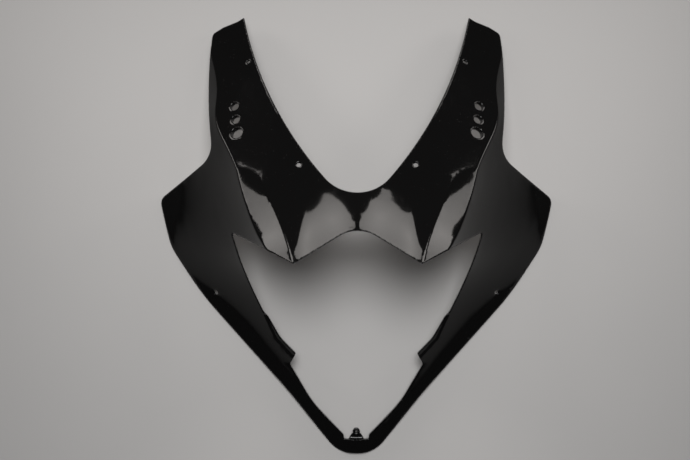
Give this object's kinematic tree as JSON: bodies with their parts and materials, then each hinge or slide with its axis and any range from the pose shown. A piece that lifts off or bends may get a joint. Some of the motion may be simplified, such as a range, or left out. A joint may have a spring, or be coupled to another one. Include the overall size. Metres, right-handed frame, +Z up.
{
  "type": "motorcycle nose fairing",
  "caption": "Front upper fairing shell for a sports motorcycle: beaked brow over an open headlight gap, arms for the windscreen and mirrors, cheeks and a chin.",
  "frame": {"origin": "middle of the shell's length and width, on the table it lies on, open side down", "axes": "+X to the right, +Y from the chin to the arm tips, +Z up out of the shell's face"},
  "size_m": [0.52, 0.577, 0.207],
  "materials": {
    "gloss_black": "injection-moulded gloss black"
  },
  "bodies": {
    "root": {"nose_fairing": "gloss_black"}
  },
  "joints": []
}
